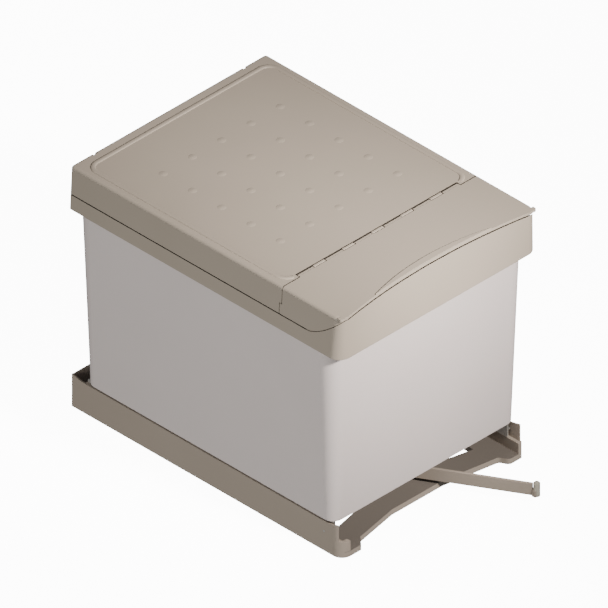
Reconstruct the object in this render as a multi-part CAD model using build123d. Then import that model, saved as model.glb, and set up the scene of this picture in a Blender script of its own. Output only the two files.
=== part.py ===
from build123d import *
import math
import os

# Under-sink pull-out recycling bin, in millimetres, +Z up, front towards -Y.
# The origin is the centre of the base tray's footprint, on its underside.

# Base tray, set out from the outer bin's base
tray_side_inset = 2.0
tray_front_reach = 12.6
tray_back_reach = 25.3
plate_thickness = 8.0
rail_width = 6.6
rail_height = 23.0
side_wall = 2.0
side_height = 43.0
end_height = 46.5
end_ramp = 15.0
back_height = 46.0
left_wall_setback = 7.2
right_wall_setback = 3.2
left_corner_radius = 14.4
right_corner_radius = 2.0
corner_lip_length = 14.4
corner_lip_drop = 1.0
left_foot_length = 32.3
left_foot_slant = 10.5
right_foot_length = 21.3
right_foot_slant = 6.2
front_step = 12.2
front_recess = 25.2
front_straight = 84.0
foot_inner_radius = 7.0
foot_edge_radius = 2.0
floor_opening_width = 226.0
floor_opening_front = 180.0
floor_opening_back = 190.0
floor_opening_flat = 120.0
floor_opening_rise = 11.8
screw_spacing_x = 256.0
screw_spacing_y = 300.0
screw_hole_radius = 2.5
lip_front_setback = 40.0
lip_back_setback = 21.0
lip_thickness = 2.6

# Running gear between the tray and the carriage
seat_gap = 0.3
running_gap = 0.05
side_gap = 0.4
roller_width = 2.0
roller_side_gap = 0.2
tray_roller_radius = 5.0
tray_roller_setback = 30.2
axle_radius = 1.5
axle_head_radius = 2.8
axle_head_thickness = 0.5
wheel_back_setback = 30.2

# Carriage
runner_thickness = 2.0
runner_front_setback = 18.2
flange_thickness = 2.0
flange_end_gap = 6.0
platform_thickness = 7.7
platform_front_setback = 25.2
platform_back_setback = 22.0
side_beam_width = 12.0
side_beam_height = 13.2
side_beam_setback = 30.2
front_member = 80.0
middle_member = 30.0
back_member = 30.0
middle_member_y = 30.0
runner_screw_radius = 1.2
runner_screw_length = 9.0
runner_screw_head_radius = 2.0
runner_screw_head_thickness = 1.2
runner_screw_count = 3
runner_screw_pitch = 150.0
buffer_radius = 3.4
buffer_spacing = 200.0

# Pull arm
arm_pivot_y = -143.8
arm_angle = 30.1
arm_length = 187.0
arm_thickness = 3.5
arm_height = 16.5
arm_clearance = 5.5
arm_hub_radius = 8.0
arm_pin_radius = 3.0
arm_pin_head_radius = 5.5
arm_pin_head_thickness = 2.2
arm_boss_radius = 9.0
arm_foot_thickness = 2.0
arm_roller_radius = 4.2
arm_roller_height = 15.5
arm_roller_pin_radius = 1.6
arm_roller_pin_head = 1.2
arm_roller_pin_head_radius = 3.0
arm_end_gap = 0.8
arm_cup_wall = 1.0
arm_cup_height = 9.0

# Outer bin
bin_low_z = 47.0
bin_base_width = 304.6
bin_base_depth = 412.5
bin_draft = 2.2
bin_corner_radius = 14.0
bin_edge_radius = 1.0
bin_inner_edge_radius = 5.0
bin_wall = 2.5
bin_rib_width = 3.0
bin_rib_height = 5.0
bin_rib_gap = 0.5

# Rim frame and lids share one tapered outline, set out from the bin's outside at the rim's lower edge
rim_low_z = 297.3
rim_side_height = 20.4
seam_gap = 1.0
lid_height = 38.7
head_side_overhang = 4.1
head_side_taper = 3.2
head_front_overhang = 14.4
head_back_overhang = 5.7
head_front_radius = 16.5
head_top_front_radius = 12.0
head_back_radius = 5.0
head_wall = 2.0
front_sagitta = 13.8
front_sagitta_low = 0.2
deck_thickness = 2.5
collar_height = 8.0
collar_wall = 2.0
collar_gap = 0.6
rise_start_y = -182.6
rise_power = 1.5
rise_steps = 12

# Main lid and its rear hinge
lid_edge_radius = 4.5
flap_line_y = -131.7
split_step_drop = 23.4
split_upper_y = -138.0
split_lower_y = -134.5
split_gap = 0.8
lid_axis_inset = 4.3
lid_axis_rise = 11.3
lid_ear_spacing = 250.0
lid_ear_width = 6.0
lid_ear_radius = 3.6
lid_notch_gap = 0.5
lid_notch_depth = 4.6
lid_lug_width = 4.0
lid_lug_inset = 0.5
lid_pin_radius = 1.8

# Front flap and its knuckled hinge
flap_plate = 3.3
flap_corner_radius = 3.0
flap_tip_length = 6.5
flap_axis_drop = 2.5
flap_barrel_radius = 2.3
flap_barrel_gap = 0.3
flap_barrel_setback = 0.2
flap_pin_radius = 1.0
knuckle_count = 5
knuckle_pitch = 48.6
knuckle_width = 19.4
knuckle_gap = 0.4
knuckle_leaf_overlap = 1.0
hinge_margin = 29.3
finger_lip_length = 194.0
finger_lip_depth = 9.0
finger_lip_height = 1.5

# Inner buckets and their bails
bucket_side_gap = 4.7
bucket_end_gap = 3.7
bucket_middle_gap = 4.0
bucket_height = 204.0
bucket_draft = 2.2
bucket_corner_radius = 30.0
bucket_edge_radius = 8.0
bucket_wall = 2.2
bucket_rim_reach = 8.0
bucket_rim_thickness = 2.5
bail_end_gap = 11.0
bail_width = 6.0
bail_thickness = 4.0
bail_pin_radius = 1.6
bail_ear_wall = 2.5
bail_ear_length = 12.0
bail_ear_gap = 0.3
bail_corner_radius = 24.0

# Tools that cut past a face, and how near a face an edge is picked
cut_margin = 1.0
outer_margin = 5.0
edge_tolerance = 0.01

# Places that follow from the sizes above
tray_width = bin_base_width - 2 * tray_side_inset
tray_depth = bin_base_depth + tray_front_reach + tray_back_reach
half_tray = tray_width / 2
tray_front = -tray_depth / 2
tray_back = tray_depth / 2
bin_centre_y = tray_front + tray_front_reach + bin_base_depth / 2
rail_inner = half_tray - rail_width
wall_inner = half_tray - side_wall
channel_low = rail_height
lip_low = side_height - lip_thickness
wheel_radius = (lip_low - channel_low - 2 * seat_gap) / 2
wheel_z = channel_low + seat_gap + wheel_radius
wheel_y = tray_back - wheel_back_setback
tray_roller_y = tray_front + tray_roller_setback
tray_roller_z = channel_low + seat_gap + tray_roller_radius
runner_outer = wall_inner - roller_width - axle_head_thickness - 2 * roller_side_gap - side_gap
runner_inner = runner_outer - runner_thickness
runner_front = tray_front + runner_front_setback
runner_low = rail_height + side_gap
flange_low = tray_roller_z + tray_roller_radius + seat_gap
flange_back = wheel_y - wheel_radius - flange_end_gap
lip_inner = runner_outer + side_gap
platform_top = bin_low_z - seat_gap
platform_low = platform_top - platform_thickness
platform_front = tray_front + platform_front_setback
platform_back = tray_back - platform_back_setback
side_beam_inner = runner_inner - side_beam_width
side_beam_low = platform_top - side_beam_height
arm_low = plate_thickness + arm_clearance
arm_top = arm_low + arm_height
deck_top = rim_low_z + rim_side_height
deck_low = deck_top - deck_thickness
bin_high_z = deck_low - seat_gap
lid_low_z = deck_top + seam_gap
head_top_z = lid_low_z + lid_height
split_step_z = head_top_z - split_step_drop
lid_axis_z = lid_low_z + lid_axis_rise
bin_slope = math.tan(math.radians(bin_draft))
bin_growth_at_rim = bin_slope * (rim_low_z - bin_low_z)
head_low_width = bin_base_width + 2 * (bin_growth_at_rim + head_side_overhang)
head_top_width = head_low_width - 2 * head_side_taper
head_front_y = bin_centre_y - bin_base_depth / 2 - bin_growth_at_rim - head_front_overhang
head_back_y = bin_centre_y + bin_base_depth / 2 + bin_growth_at_rim + head_back_overhang
lid_axis_y = head_back_y - lid_axis_inset
hinge_length = head_top_width - 2 * hinge_margin
flap_axis_y = flap_line_y - flap_barrel_radius - flap_barrel_setback
flap_axis_z = head_top_z - flap_axis_drop
flap_edge_y = flap_axis_y - flap_barrel_radius - flap_barrel_gap
lid_plate_low = head_top_z - head_wall
flap_plate_low = head_top_z - flap_plate
bucket_floor_z = bin_low_z + bin_wall + seat_gap
bucket_rim_z = bucket_floor_z + bucket_height
bail_axis_z = bucket_rim_z + seat_gap + bail_thickness / 2
bin_growth_at_buckets = bin_slope * (bucket_rim_z - bin_low_z)
bin_room_width = bin_base_width + 2 * (bin_growth_at_buckets - bin_wall)
bin_room_depth = bin_base_depth + 2 * (bin_growth_at_buckets - bin_wall)
bucket_rim_width = bin_room_width - 2 * bucket_side_gap
bucket_rim_depth = (bin_room_depth - 2 * bucket_end_gap - bucket_middle_gap) / 2
bucket_spacing = bucket_rim_depth + bucket_middle_gap
bucket_top_width = bucket_rim_width - 2 * bucket_rim_reach
bucket_top_depth = bucket_rim_depth - 2 * bucket_rim_reach
bail_reach = bucket_rim_depth / 2 - bail_end_gap
bail_outer = bucket_rim_width / 2 - bail_ear_wall - bail_ear_gap


def block(x_low, x_high, y_low, y_high, z_low, z_high):
    """Return the box between two corners."""
    centre = Pos((x_low + x_high) / 2, (y_low + y_high) / 2, (z_low + z_high) / 2)
    return centre * Box(abs(x_high - x_low), abs(y_high - y_low), abs(z_high - z_low))


def rod_x(x_low, x_high, y, z, radius):
    """Return a round bar along X."""
    return Pos((x_low + x_high) / 2, y, z) * Rot(0, 90, 0) * Cylinder(radius, abs(x_high - x_low))


def rod_y(y_low, y_high, x, z, radius):
    """Return a round bar along Y."""
    return Pos(x, (y_low + y_high) / 2, z) * Rot(90, 0, 0) * Cylinder(radius, abs(y_high - y_low))


def rod_z(z_low, z_high, x, y, radius):
    """Return a round bar along Z."""
    return Pos(x, y, (z_low + z_high) / 2) * Cylinder(radius, abs(z_high - z_low))


def side_prism(points, x_low, x_high):
    """Return a prism along X with its outline given as (y, z) points."""
    face = make_face(Polyline(*[(x_low, y, z) for y, z in points], close=True))
    return extrude(face, amount=x_high - x_low, dir=(1, 0, 0))


def upright_edge(solid, x, y):
    """Return the upright edge nearest to a place in plan."""
    uprights = solid.edges().filter_by(Axis.Z)
    return uprights.sort_by(lambda edge: math.hypot(edge.center().X - x, edge.center().Y - y))[0]


def save(shape, node):
    """Write one node's STEP file."""
    export_step(shape, f"parts/{node}.step")


def tray_outline_prism(height):
    """Return the tray's plan outline, with its unlike front corners, as a prism."""
    step_y = tray_front + front_step
    recess_y = tray_front + front_recess
    left_foot_x = half_tray - left_foot_length
    left_step_x = left_foot_x - left_foot_slant
    right_foot_x = half_tray - right_foot_length
    right_step_x = right_foot_x - right_foot_slant
    flat_x = front_straight / 2
    points = [
        (-half_tray, tray_back),
        (-half_tray, tray_front),
        (-left_foot_x, tray_front),
        (-left_step_x, step_y),
        (-flat_x, recess_y),
        (flat_x, recess_y),
        (right_step_x, step_y),
        (right_foot_x, tray_front),
        (half_tray, tray_front),
        (half_tray, tray_back),
    ]
    prism = extrude(make_face(Polyline(*points, close=True)), amount=height)
    prism = fillet(upright_edge(prism, -half_tray, tray_front), left_corner_radius)
    prism = fillet(upright_edge(prism, half_tray, tray_front), right_corner_radius)
    prism = fillet(upright_edge(prism, right_step_x, step_y), foot_inner_radius)
    prism = fillet(upright_edge(prism, right_foot_x, tray_front), foot_inner_radius)
    prism = fillet(upright_edge(prism, -left_foot_x, tray_front), foot_edge_radius)
    return prism


def tray_side(side):
    """Return one side rail with its thin upper wall and hold-down lip."""
    setback = left_wall_setback if side < 0 else right_wall_setback
    wall_front = tray_front + setback
    rail = block(side * rail_inner, side * half_tray, tray_front, tray_back, 0, rail_height)
    profile = [
        (wall_front, 0),
        (wall_front, end_height),
        (wall_front + end_ramp, side_height),
        (tray_back - end_ramp, side_height),
        (tray_back, end_height),
        (tray_back, 0),
    ]
    wall_low_x, wall_high_x = sorted((side * wall_inner, side * half_tray))
    wall = side_prism(profile, wall_low_x, wall_high_x)
    lip = block(side * lip_inner, side * wall_inner, tray_front + lip_front_setback,
                tray_back - lip_back_setback, lip_low, side_height)
    return rail + wall + lip


def base_tray():
    """Return the tray: floor plate, rails, side walls, back wall and screw holes."""
    solid = block(-half_tray, half_tray, tray_front, tray_back, 0, plate_thickness)
    solid += block(-half_tray, half_tray, tray_back - side_wall, tray_back, 0, back_height)
    for side in (-1, 1):
        solid += tray_side(side)
    lip_x = -half_tray + corner_lip_length
    solid += block(-half_tray, lip_x, tray_front, tray_front + rail_width, 0, rail_height - corner_lip_drop)
    solid &= tray_outline_prism(end_height + cut_margin)
    half_opening = floor_opening_width / 2
    half_flat = floor_opening_flat / 2
    opening = [
        (-half_opening, floor_opening_back),
        (-half_opening, -floor_opening_front),
        (-half_flat, -floor_opening_front + floor_opening_rise),
        (half_flat, -floor_opening_front + floor_opening_rise),
        (half_opening, -floor_opening_front),
        (half_opening, floor_opening_back),
    ]
    solid -= extrude(make_face(Polyline(*opening, close=True)), amount=plate_thickness)
    for x in (-screw_spacing_x / 2, screw_spacing_x / 2):
        for y in (-screw_spacing_y / 2, screw_spacing_y / 2):
            solid -= rod_z(0, plate_thickness, x, y, screw_hole_radius)
    for side in (-1, 1):
        solid -= rod_x(side * wall_inner, side * half_tray, tray_roller_y, tray_roller_z, axle_radius)
    return solid


def rear_buffers():
    """Return the two buffers that the closed carriage stops against."""
    z = back_height - buffer_radius
    front = platform_back + seat_gap
    back = tray_back - side_wall
    return Compound([rod_y(front, back, side * buffer_spacing / 2, z, buffer_radius) for side in (-1, 1)])


def tray_roller(side):
    """Return one of the two front rollers that carry the carriage's runners."""
    outer = side * (wall_inner - roller_side_gap)
    inner = side * (wall_inner - roller_side_gap - roller_width)
    roller = rod_x(inner, outer, tray_roller_y, tray_roller_z, tray_roller_radius)
    return roller - rod_x(inner, outer, tray_roller_y, tray_roller_z, axle_radius + running_gap)


def tray_roller_axles():
    """Return the headed axles of the front rollers, fixed in the side walls."""
    axles = []
    head_outer = wall_inner - 2 * roller_side_gap - roller_width
    head_inner = head_outer - axle_head_thickness
    for side in (-1, 1):
        shank = rod_x(side * head_outer, side * half_tray, tray_roller_y, tray_roller_z, axle_radius)
        head = rod_x(side * head_inner, side * head_outer, tray_roller_y, tray_roller_z, axle_head_radius)
        axles.append(shank + head)
    return Compound(axles)


def platform_screw_places():
    """Return the Y and Z places of the screws that hold each runner."""
    z = flange_low + flange_thickness + seat_gap + runner_screw_head_radius
    first = middle_member_y - runner_screw_pitch * (runner_screw_count - 1) / 2
    return [(first + runner_screw_pitch * index, z) for index in range(runner_screw_count)]


def carriage_platform():
    """Return the carriage's open platform with its side beams and arm boss."""
    solid = block(-runner_inner, runner_inner, platform_front, platform_back, platform_low, platform_top)
    beam_front = tray_front + side_beam_setback
    for side in (-1, 1):
        solid += block(side * side_beam_inner, side * runner_inner, beam_front, platform_back,
                       side_beam_low, platform_top)
    middle_front = middle_member_y - middle_member / 2
    middle_back = middle_member_y + middle_member / 2
    for low, high in ((platform_front + front_member, middle_front), (middle_back, platform_back - back_member)):
        solid -= block(-side_beam_inner, side_beam_inner, low, high, platform_low, platform_top)
    solid += rod_z(arm_top + seat_gap, platform_low, 0, arm_pivot_y, arm_boss_radius)
    solid -= rod_z(arm_top + seat_gap, platform_top, 0, arm_pivot_y, arm_pin_radius)
    for side in (-1, 1):
        for y, z in platform_screw_places():
            depth = runner_screw_length - runner_thickness
            solid -= rod_x(side * (runner_inner - depth), side * runner_inner, y, z, runner_screw_radius)
    return solid


def runner(side):
    """Return one angled side runner with its flange."""
    web = block(side * runner_inner, side * runner_outer, runner_front, platform_back, runner_low, platform_top)
    flange_outer = wall_inner - side_gap
    flange = block(side * runner_outer, side * flange_outer, runner_front, flange_back,
                   flange_low, flange_low + flange_thickness)
    solid = web + flange
    solid -= rod_x(side * runner_inner, side * runner_outer, wheel_y, wheel_z, axle_radius)
    for y, z in platform_screw_places():
        solid -= rod_x(side * runner_inner, side * runner_outer, y, z, runner_screw_radius)
    return solid


def runner_screws():
    """Return the pan-head screws that hold both runners to the platform."""
    screws = []
    for side in (-1, 1):
        for y, z in platform_screw_places():
            tip = side * (runner_outer - runner_screw_length)
            shank = rod_x(tip, side * runner_outer, y, z, runner_screw_radius)
            head_x = side * (runner_outer + runner_screw_head_thickness)
            screws.append(shank + rod_x(side * runner_outer, head_x, y, z, runner_screw_head_radius))
    return Compound(screws)


def carriage_wheel(side):
    """Return one of the two rear wheels, which run in the tray's channels."""
    inner = side * (runner_outer + roller_side_gap)
    outer = side * (runner_outer + roller_side_gap + roller_width)
    wheel = rod_x(inner, outer, wheel_y, wheel_z, wheel_radius)
    return wheel - rod_x(inner, outer, wheel_y, wheel_z, axle_radius + running_gap)


def carriage_wheel_axles():
    """Return the headed axles of the rear wheels, fixed in the runners."""
    axles = []
    head_inner = runner_outer + 2 * roller_side_gap + roller_width
    for side in (-1, 1):
        shank = rod_x(side * runner_inner, side * head_inner, wheel_y, wheel_z, axle_radius)
        head = rod_x(side * head_inner, side * (head_inner + axle_head_thickness), wheel_y, wheel_z,
                     axle_head_radius)
        axles.append(shank + head)
    return Compound(axles)


def arm_place():
    """Return the place of the arm's own frame: its pivot, with the bar along local -Y."""
    return Pos(0, arm_pivot_y, 0) * Rot(0, 0, arm_angle)


def arm_pivot_pin():
    """Return the headed pin that hangs from the platform and carries the arm."""
    head_low = arm_low - seat_gap - arm_pin_head_thickness
    shank = rod_z(head_low, platform_top, 0, arm_pivot_y, arm_pin_radius)
    return shank + rod_z(head_low, head_low + arm_pin_head_thickness, 0, arm_pivot_y, arm_pin_head_radius)


def pull_arm():
    """Return the upright flat bar that a cabinet door pulls on, with a half cup round its roller."""
    bar_end = -(arm_length - arm_roller_radius - arm_end_gap)
    bar = block(-arm_thickness / 2, arm_thickness / 2, bar_end, 0, arm_low, arm_top)
    foot_top = arm_low + arm_foot_thickness
    foot = block(-arm_roller_radius, arm_roller_radius, -arm_length, bar_end, arm_low, foot_top)
    foot += rod_z(arm_low, foot_top, 0, -arm_length, arm_roller_radius)
    cup_bore = arm_roller_radius + roller_side_gap
    cup_radius = cup_bore + arm_cup_wall
    cup = rod_z(arm_low, arm_low + arm_cup_height, 0, -arm_length, cup_radius)
    cup -= rod_z(foot_top, arm_low + arm_cup_height, 0, -arm_length, cup_bore)
    cup &= block(-cup_radius, cup_radius, -arm_length, -arm_length + cup_radius, arm_low, arm_top)
    solid = bar + foot + cup + rod_z(arm_low, arm_top, 0, 0, arm_hub_radius)
    solid -= rod_z(arm_low, arm_top, 0, 0, arm_pin_radius + running_gap)
    solid -= rod_z(arm_low, foot_top, 0, -arm_length, arm_roller_pin_radius)
    return arm_place() * solid


def arm_roller():
    """Return the sleeve at the arm's tip that runs in the door's guide."""
    low = arm_low + arm_foot_thickness + roller_side_gap
    sleeve = rod_z(low, low + arm_roller_height, 0, -arm_length, arm_roller_radius)
    sleeve -= rod_z(low, low + arm_roller_height, 0, -arm_length, arm_roller_pin_radius + running_gap)
    return arm_place() * sleeve


def arm_roller_pin():
    """Return the headed pin of the arm's roller."""
    head_low = arm_low + arm_foot_thickness + 2 * roller_side_gap + arm_roller_height
    pin = rod_z(arm_low, head_low, 0, -arm_length, arm_roller_pin_radius)
    pin += rod_z(head_low, head_low + arm_roller_pin_head, 0, -arm_length, arm_roller_pin_head_radius)
    return arm_place() * pin


def tapered_block(width, depth, centre_y, z_low, z_high, draft, corner, edge):
    """Return a block that widens upwards, with round corners and a round bottom edge."""
    base = Pos(0, centre_y, z_low) * RectangleRounded(width, depth, corner)
    solid = extrude(base, amount=z_high - z_low, taper=-draft)
    return fillet(solid.faces().sort_by(Axis.Z)[0].edges(), edge)


def bin_inner_size(z):
    """Return the width and depth of the outer bin's inside at a height."""
    growth = 2 * bin_slope * (z - bin_low_z)
    return bin_base_width + growth - 2 * bin_wall, bin_base_depth + growth - 2 * bin_wall


def outer_bin():
    """Return the outer bin with the ribs below it that locate it on the platform."""
    outer = tapered_block(bin_base_width, bin_base_depth, bin_centre_y, bin_low_z, bin_high_z, bin_draft,
                          bin_corner_radius, bin_edge_radius)
    width, depth = bin_inner_size(bin_low_z + bin_wall)
    inner = tapered_block(width, depth, bin_centre_y, bin_low_z + bin_wall, bin_high_z + bin_wall, bin_draft,
                          bin_corner_radius - bin_wall, bin_inner_edge_radius)
    solid = outer - inner
    half_length = side_beam_inner - bin_rib_gap
    for side in (-1, 1):
        near = middle_member_y + side * (middle_member / 2 + bin_rib_gap)
        solid += block(-half_length, half_length, near, near + side * bin_rib_width,
                       bin_low_z - bin_rib_height, bin_low_z)
    return solid


def head_half_width(z):
    """Return half the head's outside width at a height."""
    share = (z - rim_low_z) / (head_top_z - rim_low_z)
    return (head_low_width + (head_top_width - head_low_width) * share) / 2


def head_face(z, inset, sagitta, corner):
    """Return the head's plan outline at a height, inset by a wall."""
    half = head_half_width(z) - inset
    front = head_front_y + inset
    back = head_back_y - inset
    back_corner = head_back_radius - inset
    arc_share = 1 - math.sqrt(0.5)
    offset = corner * arc_share
    back_offset = back_corner * arc_share
    front_x = half - corner
    back_x = half - back_corner
    side_front = front + corner
    side_back = back - back_corner
    edges = [
        Line((-half, side_back), (-half, side_front)),
        ThreePointArc((-half, side_front), (-half + offset, front + offset), (-front_x, front)),
        ThreePointArc((-front_x, front), (0, front + sagitta), (front_x, front)),
        ThreePointArc((front_x, front), (half - offset, front + offset), (half, side_front)),
        Line((half, side_front), (half, side_back)),
        ThreePointArc((half, side_back), (half - back_offset, back - back_offset), (back_x, back)),
        Line((back_x, back), (-back_x, back)),
        ThreePointArc((-back_x, back), (-half + back_offset, back - back_offset), (-half, side_back)),
    ]
    return Pos(0, 0, z) * make_face(Wire(edges))


def head_solid(inset):
    """Return the tapered solid that rim frame, lid and flap are cut from."""
    low = head_face(rim_low_z, inset, front_sagitta_low, head_front_radius - inset)
    high = head_face(head_top_z, inset, front_sagitta, head_top_front_radius - inset)
    return loft([low, high], ruled=True)


def rise_points(offset):
    """Return the (y, z) curve where the rim's top climbs to the front, moved by an offset."""
    points = []
    for index in range(rise_steps + 1):
        share = index / rise_steps
        y = rise_start_y + (head_front_y - rise_start_y) * share
        points.append((y, lid_low_z + (flap_plate_low - lid_low_z) * share ** rise_power + offset))
    return points


def below_rise(offset):
    """Return the space under the seam between rim and lids."""
    back = head_back_y + outer_margin
    front = head_front_y - outer_margin
    low = rim_low_z - outer_margin
    front_top = flap_plate_low + offset
    points = [(back, lid_low_z + offset)] + rise_points(offset)
    points += [(front, front_top), (front, low), (back, low)]
    half_front = head_half_width(flap_plate_low) - head_top_front_radius
    middle = block(-half_front, half_front, front, rise_start_y, low, front_top)
    return side_prism(points, -head_low_width, head_low_width) + middle


def lid_ears():
    """Return the two upright ears on the rim's deck that carry the lid."""
    ears = []
    for side in (-1, 1):
        x = side * lid_ear_spacing / 2
        half = lid_ear_width / 2
        post = block(x - half, x + half, lid_axis_y - lid_ear_radius, lid_axis_y + lid_ear_radius,
                     deck_low, lid_axis_z)
        ears.append(post + rod_x(x - half, x + half, lid_axis_y, lid_axis_z, lid_ear_radius))
    return ears


def rim_frame():
    """Return the rim: skirt, deck, locating collar, front wall and lid ears."""
    outer = head_solid(0)
    solid = (outer - head_solid(head_wall)) & below_rise(-seam_gap)
    top_width, top_depth = bin_inner_size(deck_low - collar_height)
    collar_width = top_width - 2 * collar_gap
    collar_depth = top_depth - 2 * collar_gap
    deck = outer & block(-head_low_width, head_low_width, 2 * head_front_y, 2 * head_back_y, deck_low, deck_top)
    ring_low = deck_low - collar_height
    corner = bin_corner_radius - bin_wall + bin_slope * (deck_low - bin_low_z)
    ring = extrude(Pos(0, bin_centre_y, ring_low) * RectangleRounded(collar_width, collar_depth, corner),
                   amount=collar_height)
    opening = Pos(0, bin_centre_y, ring_low) * RectangleRounded(
        collar_width - 2 * collar_wall, collar_depth - 2 * collar_wall, corner - collar_wall)
    solid += deck + ring
    solid -= extrude(opening, amount=collar_height + deck_thickness)
    for ear in lid_ears():
        solid += ear
    for side in (-1, 1):
        x = side * lid_ear_spacing / 2
        solid -= rod_x(x - lid_ear_width / 2, x + lid_ear_width / 2, lid_axis_y, lid_axis_z,
                       lid_pin_radius + running_gap)
    return solid


def knuckle_spans():
    """Return the X spans of the lid's knuckles."""
    first = -knuckle_pitch * (knuckle_count - 1) / 2
    centres = [first + knuckle_pitch * index for index in range(knuckle_count)]
    return [(centre - knuckle_width / 2, centre + knuckle_width / 2) for centre in centres]


def flap_knuckle_spans():
    """Return the X spans of the flap's knuckles, between and beside the lid's."""
    spans = knuckle_spans()
    lows = [-hinge_length / 2] + [high + knuckle_gap for _, high in spans]
    highs = [low - knuckle_gap for low, _ in spans] + [hinge_length / 2]
    return list(zip(lows, highs))


def knuckle(x_low, x_high, leaf_y):
    """Return one hinge knuckle: a barrel with a leaf towards its own plate."""
    barrel = rod_x(x_low, x_high, flap_axis_y, flap_axis_z, flap_barrel_radius)
    leaf = block(x_low, x_high, flap_axis_y, leaf_y, flap_axis_z - flap_barrel_radius,
                 flap_axis_z + flap_barrel_radius)
    return barrel + leaf


def main_lid():
    """Return the main lid: a shell with knuckles in front and lugs at the back."""
    lid_profile = [
        (split_lower_y, lid_low_z),
        (split_lower_y, split_step_z),
        (split_upper_y, split_step_z),
        (split_upper_y, head_top_z),
        (head_back_y + cut_margin, head_top_z),
        (head_back_y + cut_margin, lid_low_z),
    ]
    solid = head_solid(0) & side_prism(lid_profile, -head_low_width, head_low_width)
    top_edges = solid.edges().filter_by(lambda edge: abs(edge.center().Z - head_top_z) < edge_tolerance)
    kept = top_edges.filter_by(lambda edge: edge.center().Y > split_upper_y + cut_margin)
    solid = fillet(kept, lid_edge_radius)
    inside = head_solid(head_wall) & block(-head_low_width, head_low_width, 2 * head_front_y, 2 * head_back_y,
                                           rim_low_z, lid_plate_low)
    solid -= inside
    half_slot = hinge_length / 2 + knuckle_gap
    solid -= block(-half_slot, half_slot, split_upper_y - cut_margin, flap_line_y, lid_low_z, head_top_z)
    for x_low, x_high in knuckle_spans():
        solid += knuckle(x_low, x_high, flap_line_y + knuckle_leaf_overlap)
    solid -= rod_x(-hinge_length / 2, hinge_length / 2, flap_axis_y, flap_axis_z, flap_pin_radius)
    for side in (-1, 1):
        x = side * lid_ear_spacing / 2
        half_notch = lid_ear_width / 2 + lid_notch_gap
        solid -= block(x - half_notch, x + half_notch, head_back_y - lid_notch_depth, head_back_y + cut_margin,
                       lid_low_z, head_top_z)
        for lug_side in (-1, 1):
            near = x + lug_side * half_notch
            far = near + lug_side * lid_lug_width
            lug = rod_x(near, far, lid_axis_y, lid_axis_z, lid_ear_radius)
            lug += block(near, far, lid_axis_y, head_back_y - lid_lug_inset,
                         lid_axis_z - lid_ear_radius, lid_axis_z + lid_ear_radius)
            solid += lug
            solid -= rod_x(near, far, lid_axis_y, lid_axis_z, lid_pin_radius)
    return solid


def lid_hinge_pins():
    """Return the two pins that join the lid's lugs to the rim's ears."""
    half = lid_ear_width / 2 + lid_notch_gap + lid_lug_width
    pins = []
    for side in (-1, 1):
        x = side * lid_ear_spacing / 2
        pins.append(rod_x(x - half, x + half, lid_axis_y, lid_axis_z, lid_pin_radius))
    return Compound(pins)


def flap_shell(rear_upper, rear_lower):
    """Return the flap's shell: round side edges, with a sharp-cornered plate at its very front."""
    tip_y = head_front_y + flap_tip_length
    far_front = head_front_y - outer_margin
    profile = [
        (rear_lower, lid_low_z),
        (rear_lower, split_step_z - split_gap),
        (rear_upper, split_step_z - split_gap),
        (rear_upper, head_top_z),
        (far_front, head_top_z),
        (far_front, lid_low_z),
    ]
    whole = head_solid(0) & side_prism(profile, -head_low_width, head_low_width)
    tip_space = block(-head_low_width, head_low_width, far_front, tip_y, rim_low_z, head_top_z)
    rear = whole - tip_space
    top_edges = rear.edges().filter_by(lambda edge: abs(edge.center().Z - head_top_z) < edge_tolerance)
    side_edges = top_edges.filter_by(lambda edge: abs(edge.center().X) > hinge_length / 2)
    kept = side_edges.filter_by(
        lambda edge: tip_y + edge_tolerance < edge.center().Y < rear_upper - edge_tolerance)
    rear = fillet(kept, lid_edge_radius)
    tip_plate = extrude(head_face(flap_plate_low, 0, front_sagitta, flap_corner_radius), amount=flap_plate)
    return rear + (whole & tip_space) + (tip_plate & tip_space)


def front_flap():
    """Return the front flap: shell, knuckles and finger lip."""
    rear_upper = split_upper_y - split_gap
    rear_lower = split_lower_y - split_gap
    solid = flap_shell(rear_upper, rear_lower)
    solid -= head_solid(head_wall) & block(-head_low_width, head_low_width, 2 * head_front_y, 2 * head_back_y,
                                           rim_low_z, flap_plate_low)
    solid -= below_rise(0)
    half_hinge = hinge_length / 2
    solid += block(-half_hinge, half_hinge, rear_upper - outer_margin, flap_edge_y, flap_plate_low, head_top_z)
    for x_low, x_high in flap_knuckle_spans():
        solid += knuckle(x_low, x_high, flap_edge_y)
    solid -= rod_x(-half_hinge, half_hinge, flap_axis_y, flap_axis_z, flap_pin_radius + running_gap)
    return solid + finger_lip()


def finger_lip():
    """Return the raised lens along the flap's front edge."""
    half_inner = head_top_width / 2 - flap_corner_radius
    radius = (half_inner ** 2 + front_sagitta ** 2) / (2 * front_sagitta)
    half = finger_lip_length / 2
    end_y = head_front_y + front_sagitta - (radius - math.sqrt(radius ** 2 - half ** 2))
    middle_y = head_front_y + front_sagitta
    front = ThreePointArc((-half, end_y), (0, middle_y), (half, end_y))
    back = ThreePointArc((half, end_y), (0, middle_y + finger_lip_depth), (-half, end_y))
    face = Pos(0, 0, head_top_z) * make_face(Wire([front, back]))
    return extrude(face, amount=finger_lip_height)


def flap_hinge_rod():
    """Return the rod through all knuckles."""
    return rod_x(-hinge_length / 2, hinge_length / 2, flap_axis_y, flap_axis_z, flap_pin_radius)


def bucket_centre(side):
    """Return a bucket's middle in Y; side is -1 in front and 1 behind."""
    return bin_centre_y + side * bucket_spacing / 2


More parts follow.
